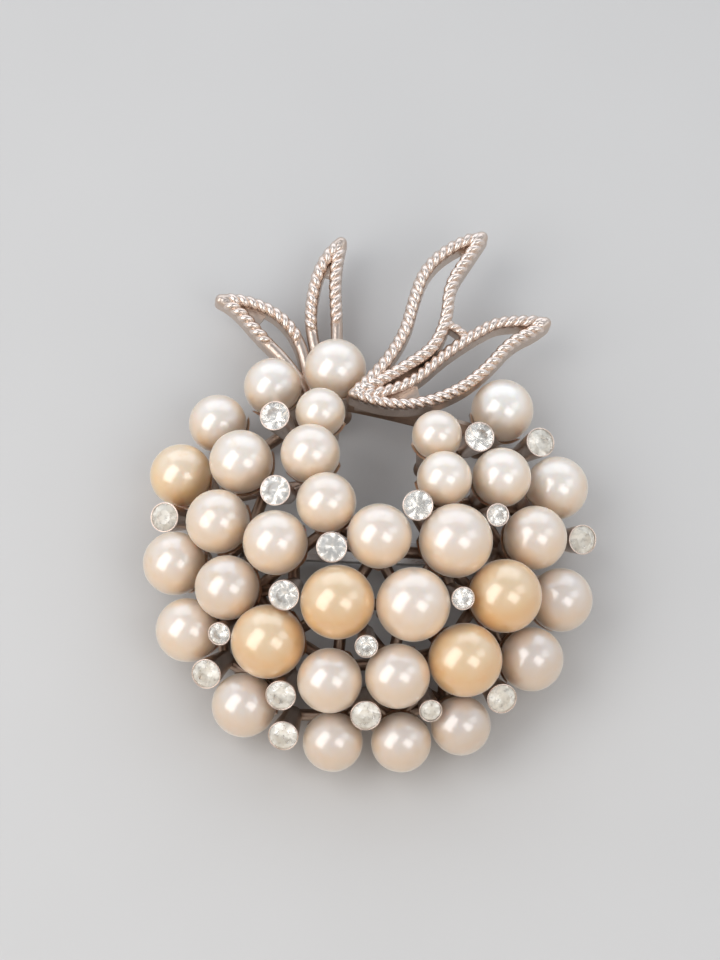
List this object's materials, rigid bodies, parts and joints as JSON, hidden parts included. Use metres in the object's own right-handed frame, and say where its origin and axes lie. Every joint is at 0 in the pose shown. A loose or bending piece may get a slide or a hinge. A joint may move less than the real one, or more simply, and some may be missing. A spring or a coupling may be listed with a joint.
{
  "type": "pineapple wreath brooch",
  "caption": "Domed open wreath brooch of imitation pearls and round rhinestones in tube settings, crowned by open rope-edged leaves, with a bar pin behind.",
  "frame": {"origin": "middle of the underside that the brooch lies on", "axes": "+Z out of the brooch's face, +Y towards the leaves, +X to the wearer's left as the viewer sees the right"},
  "size_m": [0.05, 0.0638, 0.0192],
  "materials": {
    "silvered_metal": "bright cast white metal with rhodium plating, warm where it is shaded",
    "pearl_cream": "cream imitation pearl with a soft sheen",
    "pearl_golden": "golden imitation pearl with a soft sheen",
    "pearl_mottled": "cream imitation pearl, mottled golden where its coat has aged",
    "rhinestone": "clear foil-backed cut glass",
    "pin_metal": "plain satin metal"
  },
  "bodies": {
    "root": {"frame": "silvered_metal", "pearl_01": "pearl_cream", "pearl_02": "pearl_cream", "pearl_03": "pearl_cream", "pearl_04": "pearl_cream", "pearl_05": "pearl_cream", "pearl_06": "pearl_cream", "pearl_07": "pearl_mottled", "pearl_08": "pearl_cream", "pearl_09": "pearl_cream", "pearl_10": "pearl_cream", "pearl_11": "pearl_cream", "pearl_12": "pearl_cream", "pearl_13": "pearl_cream", "pearl_14": "pearl_golden", "pearl_15": "pearl_cream", "pearl_16": "pearl_cream", "pearl_17": "pearl_golden", "pearl_18": "pearl_cream", "pearl_19": "pearl_cream", "pearl_20": "pearl_cream", "pearl_21": "pearl_cream", "pearl_22": "pearl_cream", "pearl_23": "pearl_cream", "pearl_24": "pearl_golden", "pearl_25": "pearl_cream", "pearl_26": "pearl_golden", "pearl_27": "pearl_cream", "pearl_28": "pearl_cream", "pearl_29": "pearl_cream", "pearl_30": "pearl_cream", "pearl_31": "pearl_cream", "pearl_32": "pearl_cream", "pearl_33": "pearl_cream", "pearl_34": "pearl_cream", "rhinestones": "rhinestone", "bar_pin": "pin_metal"}
  },
  "joints": []
}
